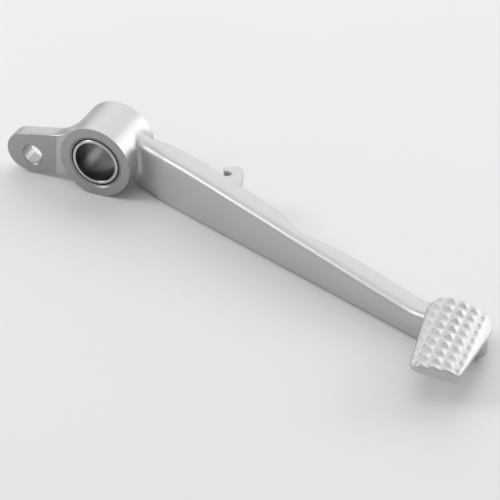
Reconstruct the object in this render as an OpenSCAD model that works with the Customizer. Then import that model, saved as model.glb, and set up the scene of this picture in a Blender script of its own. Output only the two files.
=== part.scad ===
// Foot lever of a motorcycle: a forged aluminium arm with a serrated foot pad, a rod eye and
// a spring hook, turning on a steel pivot sleeve that runs in two plain bushes between two
// dust seals.
// Frame: the origin is the centre of the pivot bore, half way along it. The bore runs along
// Y, the arm points along +X and leans towards -Y, and +Z is up. Millimetres.

/* [Pivot boss] */
// Outer diameter of the boss
boss_d = 30.6; // [30:0.2:34]
// Length of the boss along the bore
boss_len = 22.5; // [20:0.5:26]
// Chamfer on the rims of the boss
boss_edge = 0.4; // [0.3:0.1:1.2]
// Bore of the boss, where the bushes are pressed in
boss_bore_d = 22; // [21.6:0.1:23]
// Chamfer at the mouths of the bore
bore_edge = 0.5; // [0.2:0.1:0.8]

/* [Pivot sleeve] */
// Bore of the sleeve, for the pivot bolt's shoulder
sleeve_bore_d = 17; // [15:0.5:17]
// Outside diameter of the sleeve
sleeve_d = 20; // [19:0.5:20]
// Chamfer at the ends of the sleeve
sleeve_edge = 0.4; // [0.2:0.1:0.6]
// Gap between the sleeve and the bushes, on the radius
running_gap = 0.04; // [0.01:0.01:0.1]

/* [Bushes and seals] */
// Length of each bush
bush_len = 8; // [5:0.5:8.5]
// Depth of the seal's outer face below the face of the boss
seal_depth = 0.4; // [0.2:0.1:0.8]
// Length of each seal along the bore
seal_len = 1.8; // [1:0.1:2]

/* [Rod eye] */
// Distance of the eye from the bore, towards -X
eye_x = 31; // [28:0.5:34]
// Drop of the eye below the bore
eye_drop = 6.1; // [5:0.1:8]
// Diameter of the eye's hole
eye_hole_d = 8.5; // [8:0.5:10]
// Thickness of the eye plate
eye_t = 7; // [5:0.5:8]
// Step from the near face of the boss back to the near face of the plate
eye_step = 4.3; // [3:0.1:6]
// Radius of the plate's round end
eye_end_r = 8.7; // [8.2:0.1:9.5]

/* [Arm] */
// Angle by which the arm leans towards -Y, seen from above
arm_yaw = 20.5; // [15:0.5:25]
// Offset of the arm's near face from the bore's centre, across the arm
arm_offset = 2.2; // [1:0.1:4]
// Width of the arm where it leaves the boss
arm_w = 10.8; // [10:0.2:12]
// Width of the arm at the pad
arm_tip_w = 9.4; // [9:0.2:10]
// Height of the arm where it leaves the boss
arm_root_h = 22; // [20:0.5:24]
// Height of the arm where the pad begins
arm_tip_h = 11.2; // [9:0.2:13]
// Distance from the bore to where the pad begins, along the arm
arm_len = 156; // [154:1:158]
// Depth of the waist cut into the arm's far side
waist_depth = 4.6; // [2:0.2:5]

/* [Spring hook] */
// Thickness of the hook
hook_t = 4; // [3:0.5:5]
// Width of the hook's slot
slot_w = 2.2; // [1.6:0.2:2.4]

/* [Foot pad] */
// Length of the pad
pad_len = 40.5; // [38:0.5:44]
// Width of the pad at its near end
pad_w_near = 17.5; // [15:0.5:19]
// Width of the pad at its far end
pad_w_far = 24.5; // [20:0.5:25]
// Thickness of the pad at its crown, to the tips of the teeth
pad_crown = 5; // [4.8:0.1:5.4]
// Radius of the crown
pad_r = 26; // [25:0.5:30]
// Turn of the pad seen from above
pad_yaw = 8; // [6:0.5:10]
// Tilt of the pad, falling away from the bore
pad_tilt = 15.6; // [14:0.2:17]

/* [Hidden] */
$fn = 96;
eps = 0.01;
silver = [0.76, 0.76, 0.77];
steel = [0.62, 0.62, 0.64];
bronze = [0.55, 0.42, 0.28];
rubber = [0.06, 0.06, 0.06];

boss_r = boss_d / 2;
half_len = boss_len / 2;
boss_bore_r = boss_bore_d / 2;
sleeve_r = sleeve_d / 2;
bush_r = sleeve_r + running_gap;
ground = -boss_r;                   // the lever stands on the boss and on the arm
seal_out = half_len - seal_depth;   // outer face of a seal
bush_out = seal_out - seal_len;     // outer face of a bush

eye_end = [-eye_x - 3, -eye_drop + 0.8];  // centre of the plate's round end
plate_near = -half_len + eye_step;
plate_top = 6.3;                    // top of the plate where it meets the boss
plate_foot = -12.7;                 // underside of the plate where it meets the boss

waist_u = 97;                       // deepest point of the waist, along the arm
arm_start = 8;                      // inside the boss
arm_end = 181.5;                    // nose of the arm, under the pad's outer edge
nose_r = arm_tip_w / 2;
nose_shift = 2.2;                   // how far the round nose sits over to the far side

pad_corner = [155.6, -84.9, -1.5];  // near lower corner of the pad, on the bore's side
pad_centre_s = 11.5;                // crown line, across the pad
near_skew = 1.3;                    // how far the near edge draws back on its right
rim_wall = 2.4;                     // wall round the hollow under the pad
hollow_h = 1.2;                     // depth of that hollow
near_left_r = 3.4;                  // corners of the pad, seen from above with its near end down
near_right_r = 1.8;
far_left_r = 7;
far_right_r = 5.2;

// Puts its children on the bore's axis, with Z along +Y.
module along_bore() {
    rotate([-90, 0, 0]) children();
}

// A ring about the bore with chamfered or square ends, from y0 to y1.
module bore_ring(outer_r, inner_r, y0, y1, edge = 0) {
    along_bore()
        rotate_extrude()
            polygon([
                [inner_r, y0 + edge], [inner_r + edge, y0],
                [outer_r - edge, y0], [outer_r, y0 + edge],
                [outer_r, y1 - edge], [outer_r - edge, y1],
                [inner_r + edge, y1], [inner_r, y1 - edge]
            ]);
}

// The boss as a solid, without its bore.
module boss_solid() {
    along_bore()
        rotate_extrude()
            polygon([
                [0, -half_len], [boss_r - boss_edge, -half_len],
                [boss_r, -half_len + boss_edge], [boss_r, half_len - boss_edge],
                [boss_r - boss_edge, half_len], [0, half_len]
            ]);
}

// What is cut from the boss: the bore and its two chamfered mouths.
module boss_bore() {
    along_bore()
        rotate_extrude()
            polygon([
                [0, -half_len - 1], [boss_bore_r + bore_edge + 1, -half_len - 1],
                [boss_bore_r, -half_len + bore_edge], [boss_bore_r, half_len - bore_edge],
                [boss_bore_r + bore_edge + 1, half_len + 1], [0, half_len + 1]
            ]);
}

// The plate that carries the rod eye, with its sweep up to the top of the boss.
module eye_plate() {
    translate([0, plate_near + eye_t, 0])
        rotate([90, 0, 0])
            linear_extrude(eye_t) {
                translate(eye_end) circle(eye_end_r);
                polygon([
                    eye_end + eye_end_r * [sin(-9), cos(-9)],
                    [-18, plate_top], [-14, plate_top + 2.2], [-11, plate_top + 4.8],
                    [-8.5, plate_top + 7.1], [0, 0], [-9, plate_foot + 1.4],
                    [-20, plate_foot], eye_end - eye_end_r * [sin(-4), cos(-4)]
                ]);
            }
}

// Turns its children into the arm's frame: U along the arm, V across it, Z up.
module arm_frame() {
    rotate([0, 0, -arm_yaw]) children();
}

// Side view of the arm: flat underneath, tapering on top, swept up into the pad.
module arm_side() {
    translate([0, 40, 0])
        rotate([90, 0, 0])
            linear_extrude(80)
                polygon([
                    [arm_start, ground], [arm_end - 2, ground], [arm_end - 1, ground + 0.8],
                    [arm_end, ground + 4], [arm_end + 0.5, ground + 8.5], [arm_end - 1, ground + 10],
                    [arm_end - 5.5, ground + 11], [arm_len + 4, ground + 14.2],
                    [arm_len, ground + arm_tip_h],
                    [40, ground + arm_root_h - 0.2], [30, ground + arm_root_h],
                    [20, ground + arm_root_h + 0.4], [arm_start, ground + arm_root_h + 2]
                ]);
}

// Plan view of the arm: straight on the near side, waisted on the far side, with a round nose.
module arm_plan() {
    near = arm_offset;
    far = arm_offset + arm_w;
    nose_v = near + nose_r + nose_shift;
    translate([0, 0, ground - 1])
        linear_extrude(boss_d) {
            polygon([
                [arm_start, near - 3.4], [17, near - 2.4], [22, near - 1.4], [27, near - 0.4],
                [32, near],
                [arm_end - nose_r - 6, near],
                [arm_end - nose_r, nose_v - nose_r], [arm_end - nose_r, nose_v + nose_r],
                [waist_u + 27, far - 1.1], [waist_u + 18, far - 1.3],
                [waist_u + 10, far - 2.8], [waist_u + 4, far - waist_depth + 0.4],
                [waist_u, far - waist_depth], [waist_u - 5, far - waist_depth + 0.9],
                [waist_u - 11, far - 1.8], [waist_u - 16, far - 0.8],
                [40, far], [22, far], [15, far - 1.2], [arm_start, far - 2.5]
            ]);
            translate([arm_end - nose_r, nose_v]) circle(nose_r);
        }
}

module arm() {
    arm_frame()
        intersection() {
            arm_side();
            arm_plan();
        }
}

// The open hook for the return spring, level with the top of the arm.
module spring_hook() {
    arm_far = arm_offset + arm_w;
    top = ground + arm_root_h - 2;
    arm_frame()
        translate([0, 0, top - hook_t])
            linear_extrude(hook_t)
                difference() {
                    union() {
                        polygon([
                            [53, arm_far - 2], [62.4, arm_far - 2], [62.4, arm_far - 0.6],
                            [57.4, 18.6], [55.4, 20.6], [53.8, 20.4], [50.8, 17.6], [50.9, arm_far + 1]
                        ]);
                        translate([51.1, 16.2]) circle(1.6);
                        translate([54.9, 18.6]) circle(2.2);
                    }
                    translate([53.9, arm_far + slot_w / 2]) circle(slot_w / 2);
                    translate([48, arm_far]) square([5.9, slot_w]);
                }
}

// Points of an arc from angle a0 to a1, in steps of about 15 degrees.
function arc(c, r, a0, a1) =
    let (n = ceil(abs(a1 - a0) / 15))
    [for (i = [0:n]) let (a = a0 + (a1 - a0) * i / n) c + r * [cos(a), sin(a)]];

// A corner's radius, eased where the outline is drawn in further than the corner is round.
function eased(r, m) = m > 0 ? max(r, m + 0.5) : r;

// Outline of the pad in its own frame, drawn in by the given margin.
function pad_outline(m = 0) =
    let (
        nl = eased(near_left_r, m), nr = eased(near_right_r, m),
        fl = eased(far_left_r, m), fr = eased(far_right_r, m),
        lean = atan((pad_w_far - pad_w_near) / pad_len)
    )
    concat(
        arc([nl, nl], nl - m, 270, 180),
        arc([fl, pad_len - fl], fl - m, 180, 90),
        arc([pad_w_far - fr, pad_len - fr], fr - m, 90, -lean),
        arc([pad_w_near - nr, nr + near_skew], nr - m, -lean, -90)
    );

// The roller that the crown of the pad is part of, along the tips of its teeth.
module crown_roller() {
    translate([pad_centre_s, -1, pad_crown - pad_r])
        rotate([-90, 0, 0])
            cylinder(h = pad_len + 2, r = pad_r);
}

// The foot pad: the crown cut to the outline, hollow underneath.
module foot_pad() {
    translate(pad_corner)
        rotate([0, 0, pad_yaw])
            rotate([0, pad_tilt, 0])
                difference() {
                    intersection() {
                        crown_roller();
                        linear_extrude(pad_crown + 1) polygon(pad_outline());
                    }
                    translate([0, 0, -eps])
                        linear_extrude(hollow_h) polygon(pad_outline(rim_wall));
                }
}

module lever_body() {
    color(silver)
        difference() {
            union() {
                boss_solid();
                eye_plate();
                arm();
                spring_hook();
                foot_pad();
            }
            boss_bore();
            translate([-eye_x, 0, -eye_drop])
                along_bore()
                    cylinder(h = 4 * eye_t, d = eye_hole_d, center = true);
        }
}

module bush(side) {
    y_out = side * bush_out;
    y_in = side * (bush_out - bush_len);
    color(bronze) bore_ring(boss_bore_r, bush_r, min(y_out, y_in), max(y_out, y_in));
}

module near_bush() {
    bush(-1);
}

module far_bush() {
    bush(1);
}

module seal(side) {
    y_out = side * seal_out;
    y_in = side * bush_out;
    color(rubber) bore_ring(boss_bore_r, bush_r, min(y_out, y_in), max(y_out, y_in));
}

module near_seal() {
    seal(-1);
}

module far_seal() {
    seal(1);
}

module pivot_sleeve() {
    color(steel)
        bore_ring(sleeve_r, sleeve_bore_d / 2, -half_len, half_len, sleeve_edge);
}

lever_body();
near_bush();
far_bush();
near_seal();
far_seal();
pivot_sleeve();
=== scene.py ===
import bpy
import bmesh
import math
import random
from mathutils import Matrix, Vector


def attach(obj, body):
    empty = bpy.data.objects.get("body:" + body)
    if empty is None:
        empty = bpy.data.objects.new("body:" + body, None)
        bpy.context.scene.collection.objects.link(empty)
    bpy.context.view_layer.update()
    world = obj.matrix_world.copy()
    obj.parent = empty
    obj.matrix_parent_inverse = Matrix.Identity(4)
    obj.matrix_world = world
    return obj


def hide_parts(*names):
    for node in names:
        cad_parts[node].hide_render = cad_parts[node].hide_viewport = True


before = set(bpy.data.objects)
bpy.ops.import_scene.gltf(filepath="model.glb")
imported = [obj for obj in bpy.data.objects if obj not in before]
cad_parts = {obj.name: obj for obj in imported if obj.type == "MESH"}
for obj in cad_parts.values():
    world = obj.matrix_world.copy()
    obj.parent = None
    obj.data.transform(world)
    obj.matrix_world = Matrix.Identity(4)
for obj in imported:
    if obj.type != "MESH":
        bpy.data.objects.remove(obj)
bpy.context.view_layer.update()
mm = 0.001
seamGap = 0.001 * mm  # points of a seam or a pole closer than this are one
print("stage: frame loaded")


# helpers: every shape is drawn in millimetres and lands in the row frame in metres
def cageObject(name, verts, faces, edges=()):
    mesh = bpy.data.meshes.new(name)
    mesh.from_pydata([Vector(v) * mm for v in verts], list(edges), faces)
    mesh.update()
    obj = bpy.data.objects.new(name, mesh)
    bpy.context.collection.objects.link(obj)
    return obj


def bakeStack(obj, place=None, merge=0.0):
    # applies the stack, then moves the result to its place in the row frame
    bpy.context.view_layer.update()
    deps = bpy.context.evaluated_depsgraph_get()
    mesh = bpy.data.meshes.new_from_object(obj.evaluated_get(deps))
    obj.modifiers.clear()
    old = obj.data
    obj.data = mesh
    bpy.data.meshes.remove(old)
    if place is not None:
        move = place.copy()
        move.translation = place.translation * mm
        mesh.transform(move)
    work = bmesh.new()
    work.from_mesh(mesh)
    if merge:
        bmesh.ops.remove_doubles(work, verts=work.verts, dist=merge)
    bmesh.ops.recalc_face_normals(work, faces=work.faces)
    work.to_mesh(mesh)
    work.free()
    mesh.update()
    return obj


def dropObject(obj):
    mesh = obj.data
    bpy.data.objects.remove(obj)
    bpy.data.meshes.remove(mesh)


def combine(target, helper, operation):
    # boolean with a helper that is removed afterwards
    mod = target.modifiers.new("combine", "BOOLEAN")
    mod.operation = operation
    mod.solver = "MANIFOLD"
    mod.object = helper
    bakeStack(target)
    dropObject(helper)
    return target


def arcPoints(cx, cy, radius, a0, a1, step=7.5):
    count = max(2, math.ceil(abs(a1 - a0) / step))
    angles = [math.radians(a0 + (a1 - a0) * i / count) for i in range(count + 1)]
    return [(cx + radius * math.cos(a), cy + radius * math.sin(a)) for a in angles]


def bezierPoints(p0, p1, p2, p3, count=10):
    points = []
    for i in range(count + 1):
        t = i / count
        k = ((1 - t) ** 3, 3 * t * (1 - t) ** 2, 3 * t * t * (1 - t), t ** 3)
        points.append(tuple(sum(w * p[j] for w, p in zip(k, (p0, p1, p2, p3))) for j in (0, 1)))
    return points


def addBevel(obj, name, width, angle):
    mod = obj.modifiers.new(name, "BEVEL")
    mod.width = width * mm
    mod.segments = 3
    mod.limit_method = "ANGLE"
    mod.angle_limit = math.radians(angle)


def prism(name, outline, low, high, place, rounding=0.0):
    # an outline in XY from low to high, with its two rims rounded by a bevel
    count = len(outline)
    verts = [(x, y, low) for x, y in outline] + [(x, y, high) for x, y in outline]
    faces = [tuple(reversed(range(count))), tuple(range(count, 2 * count))]
    faces += [(i, (i + 1) % count, count + (i + 1) % count, count + i) for i in range(count)]
    obj = cageObject(name, verts, faces)
    if rounding:
        addBevel(obj, "rimRound", rounding, 50)
    return bakeStack(obj, place)


def lathe(name, profile, place, steps, ring=False, rounding=0.0):
    # a profile of (radius, height) turned about Z; it runs from top to bottom
    count = len(profile)
    edges = [(i, i + 1) for i in range(count - 1)] + ([(count - 1, 0)] if ring else [])
    obj = cageObject(name, [(r, 0, h) for r, h in profile], [], edges)
    mod = obj.modifiers.new("turn", "SCREW")
    mod.axis = "Z"
    mod.steps = mod.render_steps = steps
    mod.use_merge_vertices = True
    mod.merge_threshold = seamGap
    if rounding:
        addBevel(obj, "edgeRound", rounding, 25)
    return bakeStack(obj, place, merge=seamGap)


alongBore = Matrix.Rotation(math.radians(-90), 4, "X")
facingNear = Matrix.Rotation(math.radians(90), 4, "X")  # XY drawing becomes XZ, height runs to -Y


# pivot boss
boss = {
    "radius": 15.3, "halfLength": 11.25, "bore": 11.0, "mouthChamfer": 0.5, "steps": 256,
    "spare": 0.7,                       # left on each end for the lathe to take off
    "cutDepth": 3.0, "cutMargin": 1.6,  # how far the lathe's cut reaches past the ends and the rim
}


def makeBossCore():
    end = boss["halfLength"] + boss["spare"]
    profile = [(0, end), (boss["radius"], end), (boss["radius"], -end), (0, -end)]
    return lathe("bossCore", profile, alongBore, boss["steps"])


# what the lathe takes off the forging: both end faces, the bore and its chamfered mouths
def makeBossCutter():
    half, bore, chamfer = boss["halfLength"], boss["bore"], boss["mouthChamfer"]
    end, wide, mouth = half + boss["cutDepth"], boss["radius"] + boss["cutMargin"], bore + chamfer
    profile = [
        (0, end), (wide, end), (wide, half), (mouth, half), (bore, half - chamfer),
        (bore, chamfer - half), (mouth, -half), (wide, -half), (wide, -end), (0, -end),
    ]
    return lathe("bossCutter", profile, alongBore, boss["steps"])


# rod eye plate
eye = {
    "near": -6.95, "far": 0.05, "edge": 1.3,
    "endCentre": (-34.0, -5.3), "endRadius": 8.7, "endArc": (99, 266),
    "foot": [(-28, -13.5), (-20, -12.7), (-13, -11.9), (-7, -11.0), (-4, -4), (-4, 6)],
    "sweep": [(-21, 5.75), (-15.4, 6.7), (-12.4, 9.9), (-7.4, 13.9)],
    "spare": 0.6,                       # left on the near face for the mill to take off
    "millStop": -19.2, "millLean": 0.1, "millReach": 30, "millStart": -60, "millDepth": 6,
    "hole": (-31.0, -6.1), "holeRadius": 4.25, "holeChamfer": 0.4, "holeMargin": 2.4, "steps": 96,
}


def makeEyePlate():
    cx, cz = eye["endCentre"]
    outline = arcPoints(cx, cz, eye["endRadius"], *eye["endArc"])
    outline += eye["foot"]
    outline += reversed(bezierPoints(*eye["sweep"]))
    return prism("eyePlate", outline, -eye["far"], eye["spare"] - eye["near"], facingNear,
                 rounding=eye["edge"])


# the pass of the mill over the plate's near face, which stops short of the boss
def makeMillCutter():
    start, stop, reach = eye["millStart"], eye["millStop"], eye["millReach"]
    lean = reach * eye["millLean"]
    outline = [(start, -reach), (stop - lean, -reach), (stop + lean, reach), (start, reach)]
    return prism("millCutter", outline, -eye["near"], eye["millDepth"] - eye["near"], facingNear)


def makeEyeCutter():
    r, c, out = eye["holeRadius"], eye["holeChamfer"], eye["holeMargin"]
    near, far = eye["near"], eye["far"]
    profile = [
        (0, far + out), (r + c + out, far + out), (r, far - c), (r, near + c),
        (r + c + out, near - out), (0, near - out),
    ]
    place = Matrix.Translation((eye["hole"][0], 0, eye["hole"][1])) @ alongBore
    return lathe("eyeCutter", profile, place, eye["steps"])


# arm: (along, near side, far side, underside, top), the last two above the ground
arm = {
    "yaw": -20.5, "ground": -15.3,
    "nearTop": 2.9, "farTop": 2.3, "nearFoot": 2.0, "farFoot": 1.8, "belly": 0.45,
    "stations": [
        (6, 2.9, 9.8, 0.6, 23.4), (11, 2.9, 11.0, 0.3, 23.1), (15, 2.9, 12.0, 0, 22.7),
        (19, 2.8, 12.8, 0, 22.4), (24, 2.6, 13.1, 0, 22.1), (32, 2.4, 13.1, 0, 21.9),
        (40, 2.3, 13.0, 0, 21.7), (52, 2.2, 12.8, 0, 20.7), (64, 2.2, 12.6, 0, 19.6),
        (74, 2.2, 12.4, 0, 18.7), (81, 2.2, 12.2, 0, 18.1), (86, 2.2, 11.2, 0, 17.6),
        (91, 2.2, 9.5, 0, 17.1), (96, 2.2, 8.4, 0, 16.6), (101, 2.2, 8.7, 0, 16.2),
        (107, 2.2, 10.2, 0, 15.7), (114, 2.2, 11.6, 0, 15.0), (124, 2.2, 11.9, 0, 14.1),
        (140, 2.2, 11.8, 0, 12.7), (150, 2.2, 11.7, 0, 11.8), (156, 2.2, 11.7, 0, 11.6),
        (162, 2.2, 11.7, 0, 13.4), (169, 2.3, 11.8, 0, 12.2), (174, 3.2, 11.9, 0, 11.4),
        (177.5, 4.9, 12.1, 0.2, 10.9), (180, 6.9, 12.1, 0.6, 10.6), (181.6, 8.4, 11.7, 1.4, 10.2),
        (182.4, 9.3, 10.9, 2.8, 9.6),
    ],
}


def armRing(u, near, far, foot, top):
    wide, tall = far - near, top - foot
    limit = 0.46 * min(wide, tall)
    corners = [
        (near, foot, 1, 1, 180, 270, arm["nearFoot"]), (far, foot, -1, 1, 270, 360, arm["farFoot"]),
        (far, top, -1, -1, 0, 90, arm["farTop"]), (near, top, 1, -1, 90, 180, arm["nearTop"]),
    ]
    middles = [(near + wide / 2, foot), (far, foot + tall / 2), (near + wide / 2, top),
               (near - min(arm["belly"], limit * 0.3), foot + tall / 2)]
    ring = []
    for (v, z, sv, sz, a0, a1, radius), middle in zip(corners, middles):
        radius = min(radius, limit)
        ring += arcPoints(v + sv * radius, z + sz * radius, radius, a0, a1, 30)
        ring.append(middle)
    return [(u, v, z + arm["ground"]) for v, z in ring]


def makeArm():
    rings = [armRing(*station) for station in arm["stations"]]
    size = len(rings[0])
    verts = [p for ring in rings for p in ring]
    faces = [tuple(reversed(range(size))), tuple(range(len(verts) - size, len(verts)))]
    for i in range(len(rings) - 1):
        a, b = i * size, (i + 1) * size
        faces += [(a + j, a + (j + 1) % size, b + (j + 1) % size, b + j) for j in range(size)]
    obj = cageObject("armCage", verts, faces)
    mod = obj.modifiers.new("smoothForm", "SUBSURF")
    mod.levels = mod.render_levels = 2
    return bakeStack(obj, Matrix.Rotation(math.radians(arm["yaw"]), 4, "Z"))


# return spring hook, level with the arm's upper half
hook = {
    "low": 0.7, "high": 4.7, "edge": 0.8,
    "outline": [
        (53.6, 11.0), (53.7, 12.9), (54.7, 13.3), (55.0, 14.2), (54.6, 15.0), (53.7, 15.3),
        (52.8, 15.3), (52.2, 14.9), (51.3, 14.5), (50.3, 14.8), (49.7, 15.7), (49.7, 16.8),
        (50.6, 18.0), (52.4, 19.7), (53.8, 20.5), (55.2, 20.6), (56.3, 19.9), (57.6, 18.4),
        (60.0, 15.4), (62.4, 12.4), (63.4, 11.6), (63.4, 11.0),
    ],
}


def makeHook():
    place = Matrix.Rotation(math.radians(arm["yaw"]), 4, "Z")
    return prism("hook", hook["outline"], hook["low"], hook["high"], place,
                 rounding=hook["edge"])


# foot pad: s runs across it, p along it and h up from its underside
pad = {
    "corner": (155.6, -84.9, -1.5), "yaw": 8.0, "tilt": 15.6,
    "length": 40.5, "widthNear": 17.5, "widthFar": 24.5, "skew": 1.3,
    "cornerNearLeft": 3.4, "cornerNearRight": 1.8, "cornerFarLeft": 7.0, "cornerFarRight": 5.2,
    "crownLine": 11.5, "crownHeight": 5.0, "crownRadius": 26.0,
    "toothPitch": 4.75, "toothHeight": 1.15, "toothTip": 1.0, "toothLean": 6.6, "toothJitter": 0.12,
    "toothStart": (7.6, 1.2), "columns": (-4, 2), "rows": (-2, 11), "seed": 7, "tipDrop": 0.02,
    "tipShift": 0.1, "pitReach": 0.16, "lipShift": 0.2,  # these three and lipSteps in pitches
    "lipSteps": (0.2, 0.5, 1, 1.5, 2, 2.6), "lipSlope": 0.16, "lipDrop": 0.12,
    "pitRim": 0.5, "pitDepth": 1.25, "bridge": 0.3, "shiftedColumns": 2,
    "rimWall": 2.4, "hollow": 1.2, "blockTop": 8, "skirt": 7.5,
    "wornEdge": (0.5, 2.2), "wornHeight": (0.4, 1.2), "wornBox": ((-1.0, 27), (-1.0, 42)),
    "teethHeight": (1.0, 2.0), "teethEdge": (-2.0, -0.5), "teethSofter": 0.5,
    # the tread's coat goes on faces turned upward and is painted lighter there, as painted light
    "coatFrom": (-0.3, 0.8), "coatUpright": 0.45,        # where the tread's coat begins
}
padPlace = (Matrix.Translation(pad["corner"]) @ Matrix.Rotation(math.radians(pad["yaw"]), 4, "Z")
            @ Matrix.Rotation(math.radians(pad["tilt"]), 4, "Y"))


def padOutline(inset=0.0):
    # a corner tighter than the inset is eased, so that the inner outline stays round
    length, wide = pad["length"], pad["widthNear"]
    lean = math.degrees(math.atan((pad["widthFar"] - wide) / length))
    nl, nr, fl, fr = (max(pad["corner" + k], inset + 0.5 if inset else 0)
                      for k in ("NearLeft", "NearRight", "FarLeft", "FarRight"))
    outline = arcPoints(nl, nl, nl - inset, 270, 180)
    outline += arcPoints(fl, length - fl, fl - inset, 180, 90)
    outline += arcPoints(pad["widthFar"] - fr, length - fr, fr - inset, 90, -lean)
    outline += arcPoints(wide - nr, nr + pad["skew"], nr - inset, -lean, -90)
    return outline


def makeTread():
    # one cage for the whole tread: shared valleys, a small flat tip on each tooth, a smooth lip
    # along the right side, and a deep skirt that closes it underneath
    dice = random.Random(pad["seed"])
    radius, pitch, jitter = pad["crownRadius"], pad["toothPitch"], pad["toothJitter"]
    lean = math.radians(pad["toothLean"])
    columns, rows = range(*pad["columns"]), range(*pad["rows"])
    verts, faces = [], []

    def addPoint(column, row, height):
        across = pad["toothStart"][0] + pitch * (column * math.cos(lean) + row * math.sin(lean))
        along = pad["toothStart"][1] + pitch * (row * math.cos(lean) - column * math.sin(lean))
        turn, rise = (across - pad["crownLine"]) / radius, radius + height
        verts.append((pad["crownLine"] + rise * math.sin(turn), along,
                      pad["crownHeight"] - radius + rise * math.cos(turn)))
        return len(verts) - 1

    lines = [(i - 0.5, -pad["toothHeight"]) for i in range(columns[0], columns[-1] + 2)]
    lines[-1] = (lines[-1][0] - pad["pitReach"], -pad["pitRim"])
    lipStart = lines[-1][0] + pad["pitReach"] + pad["lipShift"]
    lines.append((lipStart, -pad["pitDepth"]))
    lines += [(lipStart + step, -pad["lipDrop"] - pad["lipSlope"] * pitch * step)
              for step in pad["lipSteps"]]
    last = len(lines) - 1
    top, skirt = {}, {}
    for i, (column, height) in enumerate(lines):
        for j in range(len(rows) + 1):
            top[i, j] = addPoint(column, rows[0] + j - 0.5, height)
            skirt[i, j] = addPoint(column, rows[0] + j - 0.5, -pad["skirt"])
    bridge = [addPoint(lipStart, row, -pad["bridge"]) for row in rows]
    half = pad["toothTip"] / pitch / 2
    for i in range(last):
        for j in range(len(rows)):
            ring = [(i, j), (i + 1, j), (i + 1, j + 1), (i, j + 1)]
            faces.append(tuple(skirt[r] for r in reversed(ring)))
            corners = [top[r] for r in ring]
            a, b, c, d = corners
            if i == len(columns):
                # small pits between the last teeth and the lip, with a bridge beside each tooth
                faces += [(a, b, bridge[j]), (bridge[j], c, d), (a, bridge[j], d)]
                continue
            if i == len(columns) + 1:
                faces += [(a, b, bridge[j]), (b, c, bridge[j]), (c, d, bridge[j])]
                continue
            if i > len(columns):
                faces.append((a, b, c, d))
                continue
            ci, cj = (c + dice.uniform(-jitter, jitter) / pitch for c in (columns[i], rows[j]))
            # the last two columns lean back to the left, their broad side to the right
            ci -= pad["tipShift"] * max(0, i - len(columns) + 1 + pad["shiftedColumns"])
            drop = pad["tipDrop"] + dice.uniform(0, jitter)
            tip = [addPoint(ci + half * a, cj + half * b, -drop)
                   for a, b in ((-1, -1), (1, -1), (1, 1), (-1, 1))]
            faces.append(tuple(tip))
            for k in range(4):
                n = (k + 1) % 4
                faces.append((corners[k], corners[n], tip[n], tip[k]))
    for i in range(last):
        for j, flip in ((0, False), (len(rows), True)):
            wall = (skirt[i, j], skirt[i + 1, j], top[i + 1, j], top[i, j])
            faces.append(tuple(reversed(wall)) if flip else wall)
    for j in range(len(rows)):
        for i, flip in ((0, True), (last, False)):
            wall = (skirt[i, j], skirt[i, j + 1], top[i, j + 1], top[i, j])
            faces.append(tuple(reversed(wall)) if flip else wall)
    return bakeStack(cageObject("footPad", verts, faces))


def makePad():
    body = makeTread()
    combine(body, prism("padBlock", padOutline(), 0, pad["blockTop"], None), "INTERSECT")
    hollow = prism("padHollow", padOutline(pad["rimWall"]), -1, pad["hollow"], None)
    combine(body, hollow, "DIFFERENCE")
    return bakeStack(body, padPlace)


# the forging: all of it drawn into one skin, softened at its joins, then machined
forging = {"voxel": 0.36, "keep": 0.5, "sharpness": 38}

# what each smoothing pass does: its name, its weights and its rounds
passes = [("joins", "fillet", 450), ("edge", "rim", 24), ("surface", "soft", 6)]

# where the joins are softened: a pair is where a weight starts to change and where it ends,
# fadeRight is what the right side adds to fadeLeft, and left, hook and edge are weights
joins = {
    "right": (4, 9), "shell": (14.6, 15.6), "fadeLeft": (18.0, 23.0), "fadeRight": (4, 6),
    "nearEnd": (-9.6, -7.6), "farEnd": (8.5, 10.5), "top": (9.5, 12.5), "left": 0.14,
    "hookCentre": (58, 12.6, 2.7), "hookAlong": (5, 9), "hookAcross": (0.8, 2.0),
    "hookHeight": (3.0, 4.5), "hook": 0.11,
    "edgeAlong": (22, 38), "edgeStart": (11, 16), "edgeAcross": (5, 8), "edgeShell": (14.8, 15.8),
    "edgeHeight": (1, 4), "edge": 0.12,
}


def groupWeights(obj, name, weightOf):
    # weights under 0.003 are left out, to keep the group small
    group = obj.vertex_groups.new(name=name)
    for vert in obj.data.vertices:
        weight = weightOf(vert.co / mm)
        if weight > 0.003:
            group.add([vert.index], min(1.0, weight), "REPLACE")


def ramp(value, low, high):
    return max(0.0, min(1.0, (value - low) / (high - low)))


def fade(value, low, high):
    return 1 - ramp(value, low, high)


yawTurn = Matrix.Rotation(math.radians(-arm["yaw"]), 3, "Z")


def filletWeight(p):
    # strongest where the arm, the plate and the hook grow out of their neighbours
    radius = math.hypot(p.x, p.z)
    onRight = ramp(p.x, *joins["right"])
    start, end = (a + b * onRight for a, b in zip(joins["fadeLeft"], joins["fadeRight"]))
    around = ramp(radius, *joins["shell"]) * fade(radius, start, end)
    around *= ramp(p.y, *joins["nearEnd"]) * fade(p.y, *joins["farEnd"])
    around *= joins["left"] + (1 - joins["left"]) * onRight * fade(p.z, *joins["top"])
    q = yawTurn @ p
    along, across, rise = (abs(a - b) for a, b in zip(q, joins["hookCentre"]))
    nearHook = fade(along, *joins["hookAlong"]) * fade(across, *joins["hookAcross"])
    nearHook *= fade(rise, *joins["hookHeight"])
    rootEdge = fade(q.x, *joins["edgeAlong"]) * ramp(p.x, *joins["edgeStart"])
    rootEdge *= fade(q.y, *joins["edgeAcross"])
    rootEdge *= ramp(radius, *joins["edgeShell"]) * ramp(p.z, *joins["edgeHeight"])
    return max(around, joins["hook"] * nearHook, joins["edge"] * rootEdge)


padTurn = padPlace.inverted()


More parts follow.
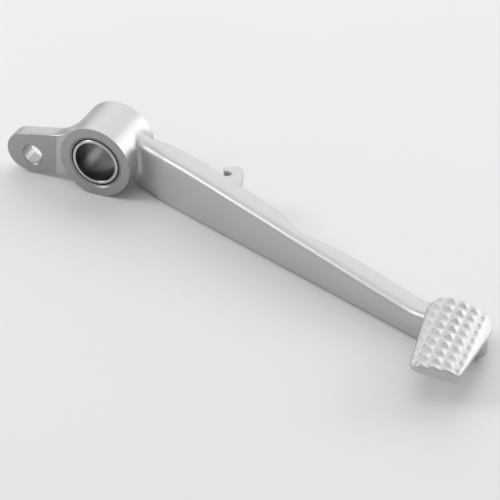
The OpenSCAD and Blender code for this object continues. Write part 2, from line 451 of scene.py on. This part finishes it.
def softWeight(p):
    # everywhere, but half as much on the teeth
    q = padTurn @ p
    onTeeth = ramp(q.z, *pad["teethHeight"])
    onTeeth *= ramp(q.x, *pad["teethEdge"]) * ramp(q.y, *pad["teethEdge"])
    return 1.0 - pad["teethSofter"] * onTeeth


def rimWeight(p):
    # the tread's outer edge, worn round
    q = padTurn @ p
    low, high = pad["wornHeight"]
    (left, right), (near, far) = pad["wornBox"]
    if not (q.z > low and left < q.x < right and near < q.y < far):
        return 0.0
    width = pad["widthNear"] + (pad["widthFar"] - pad["widthNear"]) * q.y / pad["length"]
    inward = min(q.x, q.y, pad["length"] - q.y, width - q.x)
    return fade(inward, *pad["wornEdge"]) * ramp(q.z, low, high)


def makeForging():
    obj = makeBossCore()
    obj.name = "leverForging"
    for part in (makeEyePlate(), makeArm(), makeHook(), makePad()):
        combine(obj, part, "UNION")
    mod = obj.modifiers.new("oneSkin", "REMESH")
    mod.mode = "VOXEL"
    mod.voxel_size = forging["voxel"] * mm
    bakeStack(obj)
    print("skin faces", len(obj.data.polygons))
    groupWeights(obj, "fillet", filletWeight)
    groupWeights(obj, "rim", rimWeight)
    groupWeights(obj, "soft", softWeight)
    for name, group, rounds in passes:
        mod = obj.modifiers.new(name, "SMOOTH")
        mod.factor = 0.5
        mod.iterations = rounds
        mod.vertex_group = group
    mod = obj.modifiers.new("thinOut", "DECIMATE")
    mod.ratio = forging["keep"]
    bakeStack(obj)
    obj.vertex_groups.clear()
    for cutter in (makeBossCutter, makeMillCutter, makeEyeCutter):
        combine(obj, cutter(), "DIFFERENCE")
    print("forging triangles", sum(len(f.vertices) - 2 for f in obj.data.polygons))
    return obj


def shadeByAngle(obj, degrees):
    work = bmesh.new()
    work.from_mesh(obj.data)
    limit = math.radians(degrees)
    for face in work.faces:
        face.smooth = True
    for edge in work.edges:
        edge.smooth = len(edge.link_faces) == 2 and edge.calc_face_angle(0) < limit
    work.to_mesh(obj.data)
    work.free()


lever = makeForging()
shadeByAngle(lever, forging["sharpness"])
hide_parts("lever_body")
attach(lever, "lever")
print("stage: forging")

# pivot sleeve, seals and bushes, all turned
turned = {
    "sleeveBore": 8.5, "sleeveRadius": 10.0, "sleeveChamfer": 0.4, "sleeveEdge": 0.12,
    "runningGap": 0.04, "bushLength": 8.0, "bushChamfer": 0.3,
    "sealOut": 10.85, "sealLength": 1.8, "sealCase": 0.42,
    "sealLip": [(0, 0.30), (0.10, 0.20), (0.24, 0.28), (0.36, 0.55)],  # out, and down
    "sealRim": [(0.46, 0.55), (0.42, 0.05), (0.36, 0), (0.05, 0), (0, 0.06)],  # in, and down
    "sleeveSteps": 160, "ringSteps": 128,
}


def makeSleeve():
    inner, outer = turned["sleeveBore"], turned["sleeveRadius"]
    half, c = boss["halfLength"], turned["sleeveChamfer"]
    profile = [
        (inner + c, half), (outer - c, half), (outer, half - c), (outer, c - half),
        (outer - c, -half), (inner + c, -half), (inner, c - half), (inner, half - c),
    ]
    obj = lathe("pivotSleeve", profile, alongBore, turned["sleeveSteps"], ring=True,
                rounding=turned["sleeveEdge"])
    shadeByAngle(obj, 30)
    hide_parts("pivot_sleeve")
    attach(obj, "sleeve")
    return obj


def makeRing(side, name, profile, sharpness):
    # a ring for the far end, or turned round for the near end where side is -1
    if side < 0:
        profile = [(r, -h) for r, h in reversed(profile)]
    obj = lathe(name, profile, alongBore, turned["ringSteps"], ring=True)
    shadeByAngle(obj, sharpness)
    return obj


def makeSeal(side, name, node):
    # a lip that stands a little proud of the dished face, inside a metal case
    inner, outer = turned["sleeveRadius"] + turned["runningGap"], boss["bore"]
    out, back = turned["sealOut"], turned["sealOut"] - turned["sealLength"]
    profile = [(inner + r, out - h) for r, h in turned["sealLip"]]
    profile += [(outer - r, out - h) for r, h in turned["sealRim"]]
    profile += [(outer, back), (inner, back)]
    obj = makeRing(side, name, profile, 50)
    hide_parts(node)
    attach(obj, "lever")
    return obj


def makeBush(side, name, node):
    inner, outer = turned["sleeveRadius"] + turned["runningGap"], boss["bore"]
    out = turned["sealOut"] - turned["sealLength"]
    low, c = out - turned["bushLength"], turned["bushChamfer"]
    profile = [
        (inner + c, out), (outer - c, out), (outer, out - c), (outer, low + c),
        (outer - c, low), (inner + c, low), (inner, low + c), (inner, out - c),
    ]
    obj = makeRing(side, name, profile, 30)
    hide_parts(node)
    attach(obj, "lever")
    return obj


sleeve = makeSleeve()
seals = [makeSeal(-1, "nearSeal", "near_seal"), makeSeal(1, "farSeal", "far_seal")]
bushes = [makeBush(-1, "nearBush", "near_bush"), makeBush(1, "farBush", "far_bush")]
print("stage: turned parts")


# materials
class Link:
    # wraps a socket, so that shader maths reads as ordinary expressions
    def __init__(self, tree, socket):
        self.tree, self.socket = tree, socket

    def math(self, operation, *others):
        node = self.tree.nodes.new("ShaderNodeMath")
        node.operation = operation
        for place, value in zip(node.inputs, (self, *others)):
            feed(self.tree, place, value)
        return Link(self.tree, node.outputs[0])

    def __add__(self, other): return self.math("ADD", other)
    def __radd__(self, other): return self.math("ADD", other)
    def __mul__(self, other): return self.math("MULTIPLY", other)
    def __rmul__(self, other): return self.math("MULTIPLY", other)
    def __sub__(self, other): return self.math("SUBTRACT", other)
    def __rsub__(self, other): return (self * -1.0) + other
    def __pow__(self, other): return self.math("POWER", other)


def feed(tree, place, value):
    if isinstance(value, Link):
        tree.links.new(value.socket, place)
    else:
        place.default_value = value


class Finish:
    def __init__(self, name):
        self.material = bpy.data.materials.new(name)
        self.material.use_nodes = True
        self.tree = self.material.node_tree
        self.shader = self.tree.nodes["Principled BSDF"]

    def node(self, kind, settings=None, inputs=None, out=0):
        node = self.tree.nodes.new("ShaderNode" + kind)
        for key, value in (settings or {}).items():
            setattr(node, key, value)
        for key, value in (inputs or {}).items():
            feed(self.tree, node.inputs[key], value)
        return Link(self.tree, node.outputs[out])

    def place(self):
        return self.node("TexCoord", out=3)

    def noise(self, scale, detail, rough, where=None):
        return self.node("TexNoise", None, {"Vector": where or self.place(), "Scale": scale,
                                            "Detail": detail, "Roughness": rough})

    def marks(self, distance, detail):
        # noise along one distance only, for the marks of a turning or honing tool
        line = self.node("CombineXYZ", None, {"X": distance})
        return self.noise(1.0, detail, 0.5, where=line)

    def axis(self, out):
        # how far along X, Y or Z of the row frame, in metres
        return self.node("SeparateXYZ", None, {"Vector": self.place()}, out)

    def radius(self, x=0.0, z=0.0):
        # distance from the line along Y through x and z, which are in millimetres
        dx, dz = self.axis(0) - x * mm, self.axis(2) - z * mm
        return (dx * dx + dz * dz) ** 0.5

    def step(self, value, low, high):
        return self.node("MapRange", {"interpolation_type": "SMOOTHSTEP"},
                         {"Value": value, "From Min": low, "From Max": high})

    def mix(self, factor, a, b):
        return self.node("Mix", {"data_type": "RGBA"}, {0: factor, 6: a, 7: b}, out=2)

    def bump(self, height, strength, distance):
        return self.node("Bump", None, {"Height": height, "Strength": strength,
                                        "Distance": distance})

    def set(self, **values):
        for key, value in values.items():
            feed(self.tree, self.shader.inputs[key.replace("_", " ")], value)
        return self.material


def grey(value):
    return (value, value, value, 1)


# satin silver lacquer over a forging: fine grain and soft unevenness, rougher on the tread, and
# painted lighter on the tread's upward faces as painted light
coatLook = {
    "dark": 0.50, "light": 0.62, "metal": 0.82, "rough": 0.34, "grain": 1400, "cloud": 60,
    "cast": 130, "depth": 0.18, "relief": 0.5,
    "treadRelief": 0.95, "treadRougher": 0.10, "treadPaintedLight": 0.05,
}


def makeCoat(name, relief, rougher=0.0, paintedLight=0.0):
    f = Finish(name)
    grain = f.noise(coatLook["grain"], 2.0, 0.6)
    cloud = f.noise(coatLook["cloud"], 3.0, 0.5)
    # for the tread both greys are lifted: painted light on its upward faces
    shade = f.mix(0.65 * grain + 0.35 * cloud, grey(coatLook["dark"] + paintedLight),
                  grey(coatLook["light"] + paintedLight))
    height = 0.25 * grain + f.noise(coatLook["cast"], 3.0, 0.55)
    return f.set(
        Base_Color=shade, Metallic=coatLook["metal"],
        Roughness=coatLook["rough"] + rougher + 0.10 * cloud + 0.08 * grain,
        Normal=f.bump(height, relief, coatLook["depth"] * mm))


# faces left bare by the lathe or the mill, with their fine circular marks
cutLook = {
    "dark": 0.33, "light": 0.46, "metal": 0.9, "rough": 0.34, "marks": 5200, "grain": 900,
    "relief": 0.25, "depth": 0.02,
}


def makeCut(name, centre):
    f = Finish(name)
    rings = f.marks(f.radius(*centre) * cutLook["marks"], 1.0)
    grain = f.noise(cutLook["grain"], 2.0, 0.6)
    colour = f.mix(0.5 * rings + 0.5 * grain, grey(cutLook["dark"]), grey(cutLook["light"]))
    return f.set(Base_Color=colour, Metallic=cutLook["metal"],
                 Roughness=cutLook["rough"] + 0.12 * rings,
                 Normal=f.bump(rings, cutLook["relief"], cutLook["depth"] * mm))


# bright plating, and a honed bore painted near black as painted shade
steelLook = {
    # bore is the near-black grey inside the sleeve's bore: painted shade
    "bright": (0.50, 0.64), "bore": (0.05, 0.12), "boreShadeEdge": (0.05, 0.3), "rough": 0.20,
    "honing": 4200, "smear": 260, "relief": 0.15, "depth": 0.01,
}


def makeSteel():
    f = Finish("platedSteel")
    honing = f.marks(f.axis(1) * steelLook["honing"], 2.0)
    edge = [(turned["sleeveBore"] + step) * mm for step in steelLook["boreShadeEdge"]]
    # mask from the painted shade of the bore out to the bright plating
    outside = f.step(f.radius(), *edge)
    smear = f.noise(steelLook["smear"], 3.0, 0.6)
    bright, bore = (f.mix(smear, *map(grey, steelLook[k])) for k in ("bright", "bore"))
    return f.set(Base_Color=f.mix(outside, bore, bright), Metallic=1.0,
                 Roughness=steelLook["rough"] + 0.10 * honing + 0.08 * smear,
                 Normal=f.bump(honing, steelLook["relief"], steelLook["depth"] * mm))


# a black rubber lip inside a thin bright case
rubberLook = {
    "lip": (0.012, 0.035), "case": (0.30, 0.40), "caseEdge": 0.04, "rough": 0.50,
    "grain": 2600, "dust": 420, "relief": 0.3, "depth": 0.03,
}


def makeRubber():
    f = Finish("sealRubber")
    middle, reach = boss["bore"] - turned["sealCase"], rubberLook["caseEdge"]
    case = f.step(f.radius(), (middle - reach) * mm, (middle + reach) * mm)
    grain = f.noise(rubberLook["grain"], 2.0, 0.6)
    dust = f.noise(rubberLook["dust"], 3.0, 0.55)
    lip, metal = (f.mix(dust, *map(grey, rubberLook[k])) for k in ("lip", "case"))
    return f.set(Base_Color=f.mix(case, lip, metal), Metallic=case,
                 Roughness=rubberLook["rough"] + 0.2 * dust - 0.16 * case,
                 Normal=f.bump(grain, rubberLook["relief"], rubberLook["depth"] * mm))


# sintered bronze with fine pores
bronzeLook = {
    "dark": (0.36, 0.20, 0.08, 1), "light": (0.50, 0.31, 0.14, 1), "metal": 0.9, "rough": 0.38,
    "pores": 3200, "patch": 300, "relief": 0.3, "depth": 0.03,
}


def makeBronze():
    f = Finish("bushBronze")
    pores = f.noise(bronzeLook["pores"], 2.0, 0.6)
    colour = f.mix(f.noise(bronzeLook["patch"], 3.0, 0.5), bronzeLook["dark"], bronzeLook["light"])
    return f.set(Base_Color=colour, Metallic=bronzeLook["metal"],
                 Roughness=bronzeLook["rough"] + 0.15 * pores,
                 Normal=f.bump(pores, bronzeLook["relief"], bronzeLook["depth"] * mm))


coat = makeCoat("silverCoat", coatLook["relief"])
# the tread coat is rougher and more bumpy, and its lighter grey is painted light
treadCoat = makeCoat("treadCoat", coatLook["treadRelief"], coatLook["treadRougher"],
                     coatLook["treadPaintedLight"])
steel, rubber, bronze = makeSteel(), makeRubber(), makeBronze()
turnedFace, milledFace = makeCut("turnedFace", (0, 0)), makeCut("milledFace", eye["hole"])


def dress(obj, *materials):
    obj.data.materials.clear()
    for material in materials:
        obj.data.materials.append(material)


# how far a point may lie off a tool's path and still be on the face that it cut
slack = {"end": 0.01, "rim": 0.6, "bore": 0.02, "plate": 0.004, "plateEnd": -15}


def within(points, radius, x=0.0, z=0.0):
    return all(math.hypot(p.x - x, p.z - z) < radius for p in points)


def finishOf(points, normal):
    # 1 for the lathe, 2 for the mill and the drill, 3 for the tread, 0 for all the rest
    end = boss["halfLength"] - slack["end"]
    if all(abs(p.y) > end for p in points) and within(points, boss["radius"] + slack["rim"]):
        return 1
    if within(points, boss["bore"] + boss["mouthChamfer"] + slack["bore"]):
        return 1
    if all(abs(p.y - eye["near"]) < slack["plate"] and p.x < slack["plateEnd"] for p in points):
        return 2
    if within(points, eye["holeRadius"] + eye["holeChamfer"] + slack["bore"], *eye["hole"]):
        return 2
    left, low = pad["coatFrom"]
    onPad = [padTurn @ p for p in points]
    # faces turned upward on the tread take the lighter coat, which is painted light
    if (padTurn.to_3x3() @ normal).z > pad["coatUpright"]:
        if all(q.z > low and q.x > left for q in onPad):
            return 3
    return 0


dress(lever, coat, turnedFace, milledFace, treadCoat)
for face in lever.data.polygons:
    points = [lever.data.vertices[v].co / mm for v in face.vertices]
    face.material_index = finishOf(points, face.normal)
dress(sleeve, steel)
for seal in seals:
    dress(seal, rubber)
for bush in bushes:
    dress(bush, bronze)
print("stage: materials")

# stage, light and camera
studio = {
    "floorSize": 6.0, "floorShade": 0.80, "sky": 0.42,
    "lights": [
        ("back", (-0.30, 1.30, 0.95), 1.9, 11.5), ("backRight", (0.90, 0.90, 0.38), 0.9, 7.0),
        ("highLeft", (-0.94, -0.33, 0.81), 0.5, 4.4), ("overhead", (-0.13, -0.06, 1.30), 0.8, 2.4),
    ],
    "target": (0.075, -0.03, 0.0),
}


def makeFloor():
    half, level = studio["floorSize"] / 2 / mm, arm["ground"]
    floor = cageObject("floor", [(-half, -half, level), (half, -half, level), (half, half, level),
                                 (-half, half, level)], [(0, 1, 2, 3)])
    f = Finish("paleFloor")
    haze = f.noise(9, 3.0, 0.5)
    dark, light = (grey(studio["floorShade"] * k) for k in (1, 1.05))
    f.set(Base_Color=f.mix(haze, dark, light), Roughness=0.55 + 0.1 * haze)
    dress(floor, f.material)


def makeLights():
    target = Vector(studio["target"])
    for name, where, size, power in studio["lights"]:
        data = bpy.data.lights.new(name, "AREA")
        data.shape = "SQUARE"
        data.size, data.energy = size, power
        lamp = bpy.data.objects.new(name, data)
        lamp.location = target + Vector(where)
        lamp.rotation_euler = (-Vector(where)).to_track_quat("-Z", "Y").to_euler()
        bpy.context.collection.objects.link(lamp)
    world = bpy.data.worlds.new("studioSky")
    world.use_nodes = True
    world.node_tree.nodes["Background"].inputs[0].default_value = grey(studio["sky"])
    bpy.context.scene.world = world


view = {
    "at": (0.2937, -0.51755, 0.3748), "down": 35.77, "yaw": -24.21, "roll": -1.68,
    "lens": 126.14, "sensor": 36.0, "clip": (0.01, 20),
}


def makeCamera():
    down, yaw, roll = (math.radians(view[k]) for k in ("down", "yaw", "roll"))
    level = math.cos(down)
    forward = Vector((math.sin(yaw) * level, math.cos(yaw) * level, -math.sin(down)))
    right = Vector((math.cos(yaw), -math.sin(yaw), 0))
    up = right.cross(forward)
    side = math.cos(roll) * right + math.sin(roll) * up
    top = -math.sin(roll) * right + math.cos(roll) * up
    data = bpy.data.cameras.new("camera")
    data.lens, data.sensor_width = view["lens"], view["sensor"]
    data.clip_start, data.clip_end = view["clip"]
    camera = bpy.data.objects.new("camera", data)
    turn = Matrix((side, top, -forward)).transposed().to_4x4()
    camera.matrix_world = Matrix.Translation(view["at"]) @ turn
    bpy.context.collection.objects.link(camera)
    bpy.context.scene.camera = camera


makeFloor()
makeLights()
makeCamera()
bpy.context.scene.view_settings.view_transform = "Standard"
print("stage: studio")
